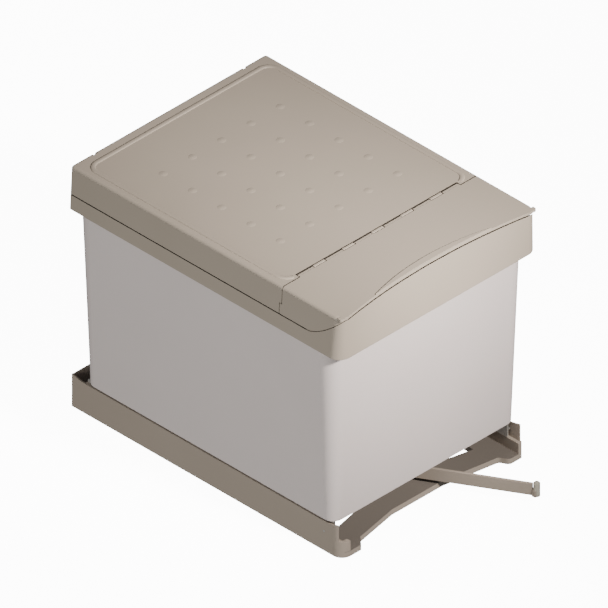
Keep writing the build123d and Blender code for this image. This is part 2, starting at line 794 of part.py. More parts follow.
def bucket(side):
    """Return one inner bucket with its rim and bail ears."""
    centre_y = bucket_centre(side)
    slope = math.tan(math.radians(bucket_draft))
    shrink = 2 * slope * bucket_height
    outer = tapered_block(bucket_top_width - shrink, bucket_top_depth - shrink, centre_y, bucket_floor_z,
                          bucket_rim_z, bucket_draft, bucket_corner_radius, bucket_edge_radius)
    lift = 2 * slope * bucket_wall
    inner = tapered_block(bucket_top_width - shrink + lift - 2 * bucket_wall,
                          bucket_top_depth - shrink + lift - 2 * bucket_wall, centre_y,
                          bucket_floor_z + bucket_wall, bucket_rim_z + bucket_wall, bucket_draft,
                          bucket_corner_radius - bucket_wall, bucket_edge_radius - bucket_wall)
    rim = extrude(Pos(0, centre_y, bucket_rim_z - bucket_rim_thickness)
                  * RectangleRounded(bucket_rim_width, bucket_rim_depth,
                                     bucket_corner_radius + bucket_rim_reach),
                  amount=bucket_rim_thickness)
    solid = outer + rim - inner
    ear_outer = bucket_rim_width / 2
    ear_inner = ear_outer - bail_ear_wall
    ear_top = bail_axis_z + bail_ear_length / 2
    for ear_side in (-1, 1):
        x_low, x_high = sorted((ear_side * ear_inner, ear_side * ear_outer))
        ear = block(x_low, x_high, centre_y - bail_ear_length / 2, centre_y + bail_ear_length / 2,
                    bucket_rim_z - bucket_rim_thickness, bail_axis_z)
        ear += rod_x(x_low, x_high, centre_y, bail_axis_z, ear_top - bail_axis_z)
        solid += ear
        solid -= rod_x(x_low, x_high, centre_y, bail_axis_z, bail_pin_radius + running_gap)
    return solid


def bail(side):
    """Return one bail, folded forward on its bucket's rim."""
    centre_y = bucket_centre(side)
    low = bail_axis_z - bail_thickness / 2
    outer = RectangleRounded(2 * bail_outer, 2 * bail_reach, bail_corner_radius)
    inner = RectangleRounded(2 * (bail_outer - bail_width), 2 * (bail_reach - bail_width),
                             bail_corner_radius - bail_width)
    ring = extrude(Pos(0, centre_y, low) * (outer - inner), amount=bail_thickness)
    solid = ring & block(-bail_outer, bail_outer, centre_y - bail_reach, centre_y, low, low + bail_thickness)
    for pin_side in (-1, 1):
        inner_x = bail_outer - bail_width
        solid += rod_x(pin_side * inner_x, pin_side * bail_outer, centre_y, bail_axis_z, bail_thickness / 2)
        pin_end = bail_outer + bail_ear_gap + bail_ear_wall
        solid += rod_x(pin_side * bail_outer, pin_side * pin_end, centre_y, bail_axis_z, bail_pin_radius)
    return solid


def main():
    """Build every node and write it."""
    os.makedirs("parts", exist_ok=True)
    save(base_tray(), "base_tray")
    save(rear_buffers(), "rear_buffers")
    save(tray_roller_axles(), "tray_roller_axles")
    save(carriage_platform(), "carriage_platform")
    save(runner_screws(), "runner_screws")
    save(carriage_wheel_axles(), "carriage_wheel_axles")
    for side, name in ((-1, "left"), (1, "right")):
        save(tray_roller(side), f"tray_roller_{name}")
        save(runner(side), f"runner_{name}")
        save(carriage_wheel(side), f"carriage_wheel_{name}")
    save(arm_pivot_pin(), "arm_pivot_pin")
    save(pull_arm(), "pull_arm")
    save(arm_roller(), "arm_roller")
    save(arm_roller_pin(), "arm_roller_pin")
    save(outer_bin(), "outer_bin")
    save(rim_frame(), "rim_frame")
    save(main_lid(), "main_lid")
    save(lid_hinge_pins(), "lid_hinge_pins")
    save(front_flap(), "front_flap")
    save(flap_hinge_rod(), "flap_hinge_rod")
    for side, name in ((-1, "front"), (1, "rear")):
        save(bucket(side), f"{name}_bucket")
        save(bail(side), f"{name}_bail")


main()
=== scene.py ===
"""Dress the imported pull-out recycling bin: finishes, moulded detail, studio and camera."""

import logging
import math
from dataclasses import dataclass
from enum import Enum

import bmesh
import bpy
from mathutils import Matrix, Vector

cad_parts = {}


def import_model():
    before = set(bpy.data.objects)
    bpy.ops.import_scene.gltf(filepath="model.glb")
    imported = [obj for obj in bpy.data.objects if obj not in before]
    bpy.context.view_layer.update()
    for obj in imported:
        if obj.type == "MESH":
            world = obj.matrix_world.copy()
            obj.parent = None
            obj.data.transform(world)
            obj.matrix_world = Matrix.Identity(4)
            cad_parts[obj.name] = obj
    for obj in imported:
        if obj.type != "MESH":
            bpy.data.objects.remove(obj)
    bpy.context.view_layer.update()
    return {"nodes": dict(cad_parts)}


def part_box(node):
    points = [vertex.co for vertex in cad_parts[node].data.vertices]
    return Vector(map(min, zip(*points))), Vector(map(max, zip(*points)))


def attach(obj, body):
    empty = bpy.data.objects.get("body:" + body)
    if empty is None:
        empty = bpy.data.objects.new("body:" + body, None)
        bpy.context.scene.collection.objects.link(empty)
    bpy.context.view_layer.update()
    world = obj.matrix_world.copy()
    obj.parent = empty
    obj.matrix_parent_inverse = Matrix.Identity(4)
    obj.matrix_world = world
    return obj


LOG = logging.getLogger("recycling_bin")
MILLIMETRE = 0.001
# Edges that turn more than this stay sharp on a smooth piece, in degrees
SHARP_ANGLE = 40.0
# How far a rib reaches into the plate that carries it, in metres
RIB_BITE = 0.0003
# The flap's five hinge knuckles: their spacing along X, and how far they reach from the middle
KNUCKLE_PITCH_MM = 48.6
KNUCKLE_REACH_MM = 110.0
# The sRGB tones of a seam's painted shadow and of the painted shade on the tray's floor
SEAM_DARK = "2b2621"
PAINTED_FLOOR_SHADE = "706962"


class Body(Enum):
    """The moving bodies that new pieces ride on."""

    BASE = "base"
    LID = "lid"
    FLAP = "flap"
    FRONT_BUCKET = "front_bucket"
    REAR_BUCKET = "rear_bucket"
    FRONT_BAIL = "front_bail"
    REAR_BAIL = "rear_bail"


def linear_colour(hex_colour: str) -> tuple[float, float, float, float]:
    """Turn an sRGB hex colour into linear RGBA.

    Args:
        hex_colour: Six hex digits, such as "b4aa9e".

    Returns:
        Linear red, green and blue, and an alpha of 1.
    """
    channels = [int(hex_colour[index:index + 2], 16) / 255 for index in (0, 2, 4)]
    linear = [c / 12.92 if c <= 0.04045 else ((c + 0.055) / 1.055) ** 2.4 for c in channels]
    return linear[0], linear[1], linear[2], 1.0


def add_node(tree: bpy.types.NodeTree, kind: str, settings: dict | None = None,
             inputs: dict | None = None) -> bpy.types.Node:
    """Add one node with its settings and links.

    Args:
        tree: The node tree that gets the node.
        kind: The node's type, such as "ShaderNodeBump".
        settings: Attribute names and values.
        inputs: Input names or numbers, each with a value or an output socket.

    Returns:
        The new node.
    """
    node = tree.nodes.new(kind)
    for name, value in (settings or {}).items():
        setattr(node, name, value)
    for key, value in (inputs or {}).items():
        if isinstance(value, bpy.types.NodeSocket):
            tree.links.new(value, node.inputs[key])
        else:
            node.inputs[key].default_value = value
    return node


@dataclass(frozen=True)
class ShadeBand:
    """A box, mirrored in X, where shade is painted into the surface's colour, such as a seam's shadow. Sizes
    are in millimetres.
    """

    middle: tuple[float, float, float]
    half: tuple[float, float, float]
    on_knuckles: bool = False

    def factor(self, tree: bpy.types.NodeTree, parts: bpy.types.NodeOutputs) -> bpy.types.NodeSocket:
        """Add the nodes that say where the band is.

        Args:
            tree: The material's tree.
            parts: The outputs of a Separate XYZ node on Object coordinates, in metres.

        Returns:
            A socket that is 1 inside the band and 0 outside.
        """
        across = add_node(tree, "ShaderNodeMath", {"operation": "ABSOLUTE"}, {0: parts[0]}).outputs[0]
        limit = None
        if self.on_knuckles:
            # X runs from each knuckle's own middle, and only over the five knuckles
            limit = add_node(tree, "ShaderNodeMath", {"operation": "LESS_THAN"}, {
                0: across, 1: KNUCKLE_REACH_MM * MILLIMETRE}).outputs[0]
            wrapped = add_node(tree, "ShaderNodeMath", {"operation": "WRAP"}, {
                0: parts[0], 1: -KNUCKLE_PITCH_MM / 2 * MILLIMETRE, 2: KNUCKLE_PITCH_MM / 2 * MILLIMETRE})
            across = add_node(tree, "ShaderNodeMath", {"operation": "ABSOLUTE"}, {
                0: wrapped.outputs[0]}).outputs[0]
        inside = limit
        for value, middle, half in zip((across, parts[1], parts[2]), self.middle, self.half):
            near = add_node(tree, "ShaderNodeMath", {"operation": "COMPARE"}, {
                0: value, 1: middle * MILLIMETRE, 2: half * MILLIMETRE}).outputs[0]
            if inside is None:
                inside = near
            else:
                inside = add_node(tree, "ShaderNodeMath", {"operation": "MULTIPLY"}, {
                    0: inside, 1: near}).outputs[0]
        return inside


# The real gaps are too thin to show in the render, so these bands carry their shadow
HINGE_LINE = ShadeBand(middle=(67.0, -131.75, 356.0), half=(67.0, 0.7, 4.0))
KNUCKLE_SIDES = ShadeBand(middle=(9.9, -134.3, 356.0), half=(0.6, 2.6, 4.0), on_knuckles=True)
KNUCKLE_FRONTS = ShadeBand(middle=(4.95, -136.6, 356.0), half=(4.95, 0.65, 4.0), on_knuckles=True)
HINGE_LINE_END = ShadeBand(middle=(133.9, -135.2, 356.0), half=(0.6, 3.6, 4.0))
BORDER_SPLIT = ShadeBand(middle=(148.0, -138.4, 357.0), half=(14.0, 0.7, 1.0))
RIM_SEAM = ShadeBand(middle=(165.0, 16.0, 318.2), half=(8.0, 196.0, 0.8))
FINGER_LIP_GAP = ShadeBand(middle=(75.0, -226.0, 353.6), half=(76.0, 12.0, 0.9))
HEAD_SEAMS = (
    HINGE_LINE, KNUCKLE_SIDES, KNUCKLE_FRONTS, HINGE_LINE_END, BORDER_SPLIT, RIM_SEAM, FINGER_LIP_GAP)
# The floor plate between the rails, darkened all over with painted shade
TRAY_FLOOR_SHADE = (ShadeBand(middle=(0.0, 0.0, 8.0), half=(143.6, 230.0, 0.3)),)


@dataclass(frozen=True)
class MouldedPolymer:
    """A polymer moulded in a spark-eroded tool: a fine even grain and a soft sheen.

    Names that end in _mm are in millimetres, and scatter is in metres.
    """

    name: str
    colour: str
    shade: str
    roughness: float = 0.46
    grain_mm: float = 1.6
    grain_height_mm: float = 0.02
    cloud_mm: float = 90.0
    edge_mm: float = 0.7
    ior: float = 1.49
    translucency: float = 0.0
    bands: tuple[ShadeBand, ...] = ()
    band_colour: str = SEAM_DARK
    cloud_detail: float = 3.0
    cloud_roughness: float = 0.5
    grain_detail: float = 2.0
    grain_roughness: float = 0.6
    grain_low: float = 0.3
    grain_high: float = 0.7
    grain_strength: float = 0.5
    gloss_swing: float = 0.04
    bevel_samples: int = 4
    scatter: tuple[float, float, float] = (0.004, 0.0035, 0.003)

    def material(self) -> bpy.types.Material:
        """Build the material.

        Returns:
            A procedural material on Object coordinates.
        """
        material = bpy.data.materials.new(self.name)
        material.use_nodes = True
        tree = material.node_tree
        shader = tree.nodes["Principled BSDF"]
        place = add_node(tree, "ShaderNodeTexCoord").outputs["Object"]
        # Slow clouds: the slight change of tone that flow in the mould leaves
        cloud = add_node(tree, "ShaderNodeTexNoise", inputs={
            "Vector": place, "Scale": 1 / (self.cloud_mm * MILLIMETRE), "Detail": self.cloud_detail,
            "Roughness": self.cloud_roughness})
        # Spark-eroded grain, drawn coarser than the real 0.3 mm so that it shows
        grain = add_node(tree, "ShaderNodeTexNoise", inputs={
            "Vector": place, "Scale": 1 / (self.grain_mm * MILLIMETRE), "Detail": self.grain_detail,
            "Roughness": self.grain_roughness})
        tone = add_node(tree, "ShaderNodeMix", {"data_type": "RGBA"}, {
            "Factor": cloud.outputs["Fac"], 6: linear_colour(self.shade), 7: linear_colour(self.colour)})
        colour = tone.outputs[2]
        parts = add_node(tree, "ShaderNodeSeparateXYZ", inputs={0: place}).outputs if self.bands else None
        # Each band paints shade into the colour: the seams' shadow, or the shade on the tray's floor
        for band in self.bands:
            colour = add_node(tree, "ShaderNodeMix", {"data_type": "RGBA"}, {
                "Factor": band.factor(tree, parts), 6: colour,
                7: linear_colour(self.band_colour)}).outputs[2]
        tree.links.new(colour, shader.inputs["Base Color"])
        rough = add_node(tree, "ShaderNodeMapRange", inputs={
            "Value": grain.outputs["Fac"], "From Min": self.grain_low, "From Max": self.grain_high,
            "To Min": self.roughness - self.gloss_swing, "To Max": self.roughness + self.gloss_swing})
        tree.links.new(rough.outputs["Result"], shader.inputs["Roughness"])
        # Moulded edges are never knife sharp
        edge = add_node(tree, "ShaderNodeBevel", {"samples": self.bevel_samples}, {
            "Radius": self.edge_mm * MILLIMETRE})
        bump = add_node(tree, "ShaderNodeBump", inputs={
            "Height": grain.outputs["Fac"], "Strength": self.grain_strength,
            "Distance": self.grain_height_mm * MILLIMETRE, "Normal": edge.outputs["Normal"]})
        tree.links.new(bump.outputs["Normal"], shader.inputs["Normal"])
        shader.inputs["IOR"].default_value = self.ior
        shader.inputs["Subsurface Weight"].default_value = self.translucency
        shader.inputs["Subsurface Radius"].default_value = self.scatter
        return material


@dataclass(frozen=True)
class ZincPlatedSteel:
    """Zinc-plated pressed steel: a cool grey metal with fine rolling lines along Y."""

    name: str = "zinc_plated_steel"
    colour: str = "dcdad6"
    shade: str = "c9c7c3"
    roughness: float = 0.58
    line_mm: float = 0.8
    line_length_mm: float = 60.0
    line_detail: float = 3.0
    line_strength: float = 0.3
    line_height_mm: float = 0.01
    gloss_swing: float = 0.08

    def material(self) -> bpy.types.Material:
        """Build the material.

        Returns:
            A procedural metal with stretched rolling lines.
        """
        material = bpy.data.materials.new(self.name)
        material.use_nodes = True
        tree = material.node_tree
        shader = tree.nodes["Principled BSDF"]
        place = add_node(tree, "ShaderNodeTexCoord").outputs["Object"]
        across = 1 / (self.line_mm * MILLIMETRE)
        along = 1 / (self.line_length_mm * MILLIMETRE)
        stretch = add_node(tree, "ShaderNodeMapping", inputs={
            "Vector": place, "Scale": (across, along, across)})
        lines = add_node(tree, "ShaderNodeTexNoise", inputs={
            "Vector": stretch.outputs["Vector"], "Scale": 1.0, "Detail": self.line_detail})
        tone = add_node(tree, "ShaderNodeMix", {"data_type": "RGBA"}, {
            "Factor": lines.outputs["Fac"], 6: linear_colour(self.shade), 7: linear_colour(self.colour)})
        tree.links.new(tone.outputs[2], shader.inputs["Base Color"])
        rough = add_node(tree, "ShaderNodeMapRange", inputs={
            "Value": lines.outputs["Fac"], "To Min": self.roughness - self.gloss_swing,
            "To Max": self.roughness + self.gloss_swing})
        tree.links.new(rough.outputs["Result"], shader.inputs["Roughness"])
        bump = add_node(tree, "ShaderNodeBump", inputs={
            "Height": lines.outputs["Fac"], "Strength": self.line_strength,
            "Distance": self.line_height_mm * MILLIMETRE})
        tree.links.new(bump.outputs["Normal"], shader.inputs["Normal"])
        shader.inputs["Metallic"].default_value = 1.0
        return material


# Polypropylene of lid, flap and rim: a warm taupe with a low even sheen
TAUPE = MouldedPolymer("taupe_moulded_polypropylene", "a99e90", "a4998b", bands=HEAD_SEAMS)
# Polypropylene of the tray: the same taupe, duller, with painted shade on its floor
TRAY_TAUPE = MouldedPolymer("tray_taupe_moulded_polypropylene", "a89c8f", "a19588", roughness=0.5,
                            bands=TRAY_FLOOR_SHADE, band_colour=PAINTED_FLOOR_SHADE)
# Polypropylene of the arm and the screw seats: the tray's tone, without the floor's painted shade
ARM_TAUPE = MouldedPolymer("arm_taupe_moulded_polypropylene", "a89c8f", "a19588", roughness=0.5)
# Polypropylene of the carriage and the bails: darker and more matt
DARK_TAUPE = MouldedPolymer("carriage_taupe_moulded_polypropylene", "8a8278", "837b72", roughness=0.52)
# Thin polypropylene of the outer bin: pale, smoother, and it lets a little light through
PALE = MouldedPolymer("pale_grey_moulded_polypropylene", "ddd3d0", "d8cecb", roughness=0.4,
                      translucency=0.04)
# Polypropylene of the inner buckets: a light neutral grey
BUCKET_GREY = MouldedPolymer("bucket_grey_moulded_polypropylene", "c6c4c0", "c0beba", roughness=0.42)
# Turned acetal of wheels and rollers: creamy and slick, with hardly any grain
ACETAL = MouldedPolymer("natural_turned_acetal", "cfccc0", "c8c5b9", roughness=0.3, grain_mm=3.0,
                        grain_height_mm=0.01, edge_mm=0.3)
# Moulded acetal of the arm's roller: greyer and less slick
TIP_ACETAL = MouldedPolymer("grey_moulded_acetal", "b7b3a4", "b0ac9e", roughness=0.36, edge_mm=0.3)
# Rubber of the buffers: almost black, without sheen
RUBBER = MouldedPolymer("matt_black_moulded_rubber", "26262a", "1f1f22", roughness=0.75)
# Zinc-plated steel of runners, screws, axles and pins
STEEL = ZincPlatedSteel()


class NodeFinishes:
    """Give each carried-over node its finish."""

    def __init__(self) -> None:
        """Set which nodes share a finish."""
        self.nodes_by_finish = {
            TAUPE: ("rim_frame", "main_lid", "front_flap"),
            TRAY_TAUPE: ("base_tray",),
            ARM_TAUPE: ("pull_arm",),
            DARK_TAUPE: ("carriage_platform", "front_bail", "rear_bail"),
            PALE: ("outer_bin",),
            BUCKET_GREY: ("front_bucket", "rear_bucket"),
            TIP_ACETAL: ("arm_roller", "arm_roller_pin"),
            ACETAL: ("tray_roller_left", "tray_roller_right", "carriage_wheel_left",
                     "carriage_wheel_right"),
            RUBBER: ("rear_buffers",),
            STEEL: ("runner_left", "runner_right", "runner_screws", "tray_roller_axles",
                    "carriage_wheel_axles", "arm_pivot_pin", "lid_hinge_pins", "flap_hinge_rod"),
        }
        self.made: dict[str, bpy.types.Material] = {}

    def material_of(self, finish: MouldedPolymer | ZincPlatedSteel) -> bpy.types.Material:
        """Return a finish's material, built once.

        Args:
            finish: The finish that is wanted.

        Returns:
            Its material.
        """
        if finish.name not in self.made:
            self.made[finish.name] = finish.material()
        return self.made[finish.name]

    def dress(self, nodes: dict[str, bpy.types.Object]) -> None:
        """Assign the finishes to the nodes' own material slots.

        Args:
            nodes: The frame's objects by name.
        """
        for finish, names in self.nodes_by_finish.items():
            for name in names:
                for slot in nodes[name].material_slots:
                    slot.material = self.material_of(finish)
            LOG.info("%s: %s", finish.name, ", ".join(names))


class Moulding:
    """What the moulded detail pieces share: a geometry tree that becomes a plain mesh."""

    def __init__(self, finishes: NodeFinishes) -> None:
        """Keep the finishes.

        Args:
            finishes: The finishes of the whole bin.
        """
        self.finishes = finishes

    @staticmethod
    def new_tree(name: str, sizes: dict[str, float]) -> tuple[bpy.types.NodeTree, bpy.types.Node]:
        """Start a geometry tree with named size inputs.

        Args:
            name: The tree's name.
            sizes: Input names and their values in metres or counts.

        Returns:
            The tree and its group input node.
        """
        tree = bpy.data.node_groups.new(name, "GeometryNodeTree")
        tree.interface.new_socket("Geometry", in_out="INPUT", socket_type="NodeSocketGeometry")
        tree.interface.new_socket("Material", in_out="INPUT", socket_type="NodeSocketMaterial")
        for size_name, value in sizes.items():
            kind = "NodeSocketInt" if isinstance(value, int) else "NodeSocketFloat"
            tree.interface.new_socket(size_name, in_out="INPUT", socket_type=kind)
        tree.interface.new_socket("Geometry", in_out="OUTPUT", socket_type="NodeSocketGeometry")
        return tree, tree.nodes.new("NodeGroupInput")

    @staticmethod
    def close_tree(tree: bpy.types.NodeTree, source: bpy.types.Node, geometry: bpy.types.NodeSocket) -> None:
        """End a tree with Realize Instances and Set Material.

        Args:
            tree: The tree.
            source: Its group input node.
            geometry: The finished geometry.
        """
        real = add_node(tree, "GeometryNodeRealizeInstances", inputs={"Geometry": geometry})
        painted = add_node(tree, "GeometryNodeSetMaterial", inputs={
            "Geometry": real.outputs["Geometry"], "Material": source.outputs["Material"]})
        add_node(tree, "NodeGroupOutput", inputs={"Geometry": painted.outputs["Geometry"]})

    def piece(self, name: str, tree: bpy.types.NodeTree, sizes: dict[str, float],
              finish: MouldedPolymer, body: Body,
              start: bpy.types.Object | None = None, smooth: bool = True) -> bpy.types.Object:
        """Run a tree once and keep its result as a plain piece.

        Args:
            name: The piece's name.
            tree: The geometry tree.
            sizes: The values of the tree's named inputs.
            finish: The piece's finish.
            body: The body it rides on.
            start: The object that the tree starts from, or None for an empty mesh.
            smooth: True for smooth shading.

        Returns:
            The finished piece.
        """
        carrier = start or bpy.data.objects.new(f"{name}_carrier", bpy.data.meshes.new(f"{name}_carrier"))
        if carrier.name not in bpy.context.scene.collection.objects:
            bpy.context.scene.collection.objects.link(carrier)
        modifier = carrier.modifiers.new("build", "NODES")
        modifier.node_group = tree
        material = self.finishes.material_of(finish)
        for item in tree.interface.items_tree:
            if item.in_out != "INPUT":
                continue
            if item.name == "Material":
                modifier[item.identifier] = material
            elif item.name in sizes:
                modifier[item.identifier] = sizes[item.name]
        graph = bpy.context.evaluated_depsgraph_get()
        mesh = bpy.data.meshes.new_from_object(carrier.evaluated_get(graph))
        carrier.modifiers.remove(modifier)
        bpy.data.objects.remove(carrier)
        for polygon in mesh.polygons:
            polygon.use_smooth = smooth
        if smooth:
            mesh.set_sharp_from_angle(angle=math.radians(SHARP_ANGLE))
        mesh.name = name
        result = bpy.data.objects.new(name, mesh)
        bpy.context.scene.collection.objects.link(result)
        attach(result, body.value)
        LOG.info("%s: %d faces on body %s", name, len(mesh.polygons), body.value)
        return result


def cross_ribs(name: str, sizes: dict[str, float], first_y: float, plate_low: float) -> bpy.types.NodeTree:
    """Build the tree of a row of cross ribs under a plate.

    Args:
        name: The tree's name.
        sizes: Count, Pitch, Length, Thickness and Depth, in metres.
        first_y: The first rib's Y.
        plate_low: The plate's underside.

    Returns:
        The tree.
    """
    tree, source = Moulding.new_tree(name, sizes)
    size = source.outputs
    step = add_node(tree, "ShaderNodeCombineXYZ", inputs={1: size["Pitch"]})
    line = add_node(tree, "GeometryNodeMeshLine", inputs={
        "Count": size["Count"], "Start Location": (0, first_y, plate_low + RIB_BITE - sizes["Depth"] / 2),
        "Offset": step.outputs[0]})
    extent = add_node(tree, "ShaderNodeCombineXYZ", inputs={
        0: size["Length"], 1: size["Thickness"], 2: size["Depth"]})
    rib = add_node(tree, "GeometryNodeMeshCube", inputs={"Size": extent.outputs[0]})
    ribs = add_node(tree, "GeometryNodeInstanceOnPoints", inputs={
        "Points": line.outputs["Mesh"], "Instance": rib.outputs["Mesh"]})
    Moulding.close_tree(tree, source, ribs.outputs["Instances"])
    return tree


@dataclass
class LidDetail:
    """The main lid's moulded detail: bumps, panel bead and underside ribs. Sizes are in metres."""

    finishes: NodeFinishes
    bump_count: int = 5
    bump_pitch: float = 0.0488
    bump_middle_y: float = 0.0277
    bump_radius: float = 0.0064
    bump_height: float = 0.0003
    bump_sink: float = 0.0002
    bump_sides: int = 24
    bump_rings: int = 6
    base_tolerance: float = 1e-6
    bead_half_width: float = 0.151
    bead_back_y: float = 0.1975
    bead_front_y: float = -0.1335
    bead_width: float = 0.0066
    bead_height: float = 0.0012
    bead_corner: float = 0.015
    bead_corner_steps: int = 10
    bead_sides: int = 16
    bead_turn_in: float = 0.012
    bead_turn_rise: float = 0.0072
    rib_count: int = 6
    rib_thickness: float = 0.0016
    rib_depth: float = 0.004
    rib_length: float = 0.31
    rib_first_y: float = -0.1
    rib_pitch: float = 0.055
    wall: float = 0.002

    def bump_tree(self) -> tuple[bpy.types.NodeTree, dict[str, float]]:
        """Build the tree of the bumps: a grid of points, each with a low dome.

        Returns:
            The tree and its sizes.
        """
        sizes = {"Count": self.bump_count, "Span": self.bump_pitch * (self.bump_count - 1),
                 "Radius": self.bump_radius, "Height": self.bump_height, "Sink": self.bump_sink}
        tree, source = Moulding.new_tree("lid_bumps", sizes)
        size = source.outputs
        grid = add_node(tree, "GeometryNodeMeshGrid", inputs={
            "Size X": size["Span"], "Size Y": size["Span"],
            "Vertices X": size["Count"], "Vertices Y": size["Count"]})
        cone = add_node(tree, "GeometryNodeMeshCone", {"fill_type": "TRIANGLE_FAN"}, {
            "Vertices": self.bump_sides, "Side Segments": self.bump_rings, "Fill Segments": 1,
            "Radius Top": 0.0, "Radius Bottom": size["Radius"], "Depth": size["Height"]})
        position = add_node(tree, "GeometryNodeInputPosition").outputs["Position"]
        parts = add_node(tree, "ShaderNodeSeparateXYZ", inputs={0: position}).outputs
        flat = add_node(tree, "ShaderNodeCombineXYZ", inputs={0: parts[0], 1: parts[1]})
        reach = add_node(tree, "ShaderNodeVectorMath", {"operation": "LENGTH"}, {0: flat.outputs[0]})
        share = add_node(tree, "ShaderNodeMath", {"operation": "DIVIDE"}, {
            0: reach.outputs["Value"], 1: size["Radius"]})
        turn = add_node(tree, "ShaderNodeMath", {"operation": "MULTIPLY"}, {
            0: share.outputs[0], 1: math.pi})
        wave = add_node(tree, "ShaderNodeMath", {"operation": "COSINE"}, {0: turn.outputs[0]})
        rise = add_node(tree, "ShaderNodeMath", {"operation": "MULTIPLY_ADD"}, {
            0: wave.outputs[0], 1: 0.5, 2: 0.5})
        height = add_node(tree, "ShaderNodeMath", {"operation": "MULTIPLY"}, {
            0: rise.outputs[0], 1: size["Height"]})
        below = add_node(tree, "ShaderNodeMath", {"operation": "LESS_THAN"}, {
            0: parts[2], 1: self.base_tolerance})
        drop = add_node(tree, "ShaderNodeMath", {"operation": "MULTIPLY"}, {
            0: below.outputs[0], 1: size["Sink"]})
        level = add_node(tree, "ShaderNodeMath", {"operation": "SUBTRACT"}, {
            0: height.outputs[0], 1: drop.outputs[0]})
        goal = add_node(tree, "ShaderNodeCombineXYZ", inputs={0: parts[0], 1: parts[1], 2: level.outputs[0]})
        dome = add_node(tree, "GeometryNodeSetPosition", inputs={
            "Geometry": cone.outputs["Mesh"], "Position": goal.outputs[0]})
        domes = add_node(tree, "GeometryNodeInstanceOnPoints", inputs={
            "Points": grid.outputs["Mesh"], "Instance": dome.outputs["Geometry"]})
        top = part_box("main_lid")[1][2]
        moved = add_node(tree, "GeometryNodeTransform", inputs={
            "Geometry": domes.outputs["Instances"], "Translation": (0, self.bump_middle_y, top)})
        Moulding.close_tree(tree, source, moved.outputs["Geometry"])
        return tree, sizes

    def bead_path(self) -> bpy.types.Object:
        """Return the panel bead's path: up one side, along the back and down the other.

        Returns:
            A poly curve object.
        """
        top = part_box("main_lid")[1][2]
        half = self.bead_half_width
        inner = half - self.bead_turn_in
        turn_y = self.bead_front_y + self.bead_turn_rise
        corners = [
            (-inner, self.bead_front_y), (-half, turn_y), (-half, self.bead_back_y),
            (half, self.bead_back_y), (half, turn_y), (inner, self.bead_front_y)]
        curve = bpy.data.curves.new("bead_path", "CURVE")
        curve.dimensions = "3D"
        spline = curve.splines.new("POLY")
        spline.points.add(len(corners) - 1)
        for point, (x, y) in zip(spline.points, corners):
            point.co = (x, y, top, 1)
        return bpy.data.objects.new("bead_path", curve)

    def bead_tree(self) -> tuple[bpy.types.NodeTree, dict[str, float]]:
        """Build the tree that rounds the path's corners and sweeps the bead's profile along it.

        Returns:
            The tree and its sizes.
        """
        sizes = {"Corner": self.bead_corner, "Half Width": self.bead_width / 2,
                 "Flatness": 2 * self.bead_height / self.bead_width}
        tree, source = Moulding.new_tree("lid_bead", sizes)
        size = source.outputs
        rounded = add_node(tree, "GeometryNodeFilletCurve", {"mode": "POLY"}, {
            "Curve": size["Geometry"], "Count": self.bead_corner_steps, "Radius": size["Corner"],
            "Limit Radius": True})
        circle = add_node(tree, "GeometryNodeCurvePrimitiveCircle", inputs={
            "Resolution": self.bead_sides, "Radius": size["Half Width"]})
        squeeze = add_node(tree, "ShaderNodeCombineXYZ", inputs={0: 1.0, 1: size["Flatness"], 2: 1.0})
        profile = add_node(tree, "GeometryNodeTransform", inputs={
            "Geometry": circle.outputs["Curve"], "Scale": squeeze.outputs[0]})
        swept = add_node(tree, "GeometryNodeCurveToMesh", inputs={
            "Curve": rounded.outputs["Curve"], "Profile Curve": profile.outputs["Geometry"],
            "Fill Caps": True})
        Moulding.close_tree(tree, source, swept.outputs["Mesh"])
        return tree, sizes

    def build(self) -> None:
        """Build and dress the lid's pieces."""
        moulding = Moulding(self.finishes)
        tree, sizes = self.bump_tree()
        moulding.piece("lid_bumps", tree, sizes, TAUPE, Body.LID)
        tree, sizes = self.bead_tree()
        moulding.piece("lid_bead", tree, sizes, TAUPE, Body.LID, start=self.bead_path())
        sizes = {"Count": self.rib_count, "Pitch": self.rib_pitch, "Length": self.rib_length,
                 "Thickness": self.rib_thickness, "Depth": self.rib_depth}
        tree = cross_ribs("lid_ribs", sizes, self.rib_first_y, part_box("main_lid")[1][2] - self.wall)
        moulding.piece("lid_ribs", tree, sizes, TAUPE, Body.LID, smooth=False)


@dataclass
class FlapDetail:
    """The front flap's moulded detail: cross ribs under its plate. Sizes are in metres."""

    finishes: NodeFinishes
    rib_count: int = 4
    rib_thickness: float = 0.0016
    rib_depth: float = 0.003
    rib_length: float = 0.29
    rib_first_y: float = -0.206
    rib_pitch: float = 0.018
    plate: float = 0.0033
    lip_height: float = 0.0015

    def build(self) -> None:
        """Build and dress the flap's ribs."""
        sizes = {"Count": self.rib_count, "Pitch": self.rib_pitch, "Length": self.rib_length,
                 "Thickness": self.rib_thickness, "Depth": self.rib_depth}
        plate_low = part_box("front_flap")[1][2] - self.lip_height - self.plate
        tree = cross_ribs("flap_ribs", sizes, self.rib_first_y, plate_low)
        moulding = Moulding(self.finishes)
        moulding.piece("flap_ribs", tree, sizes, TAUPE, Body.FLAP, smooth=False)


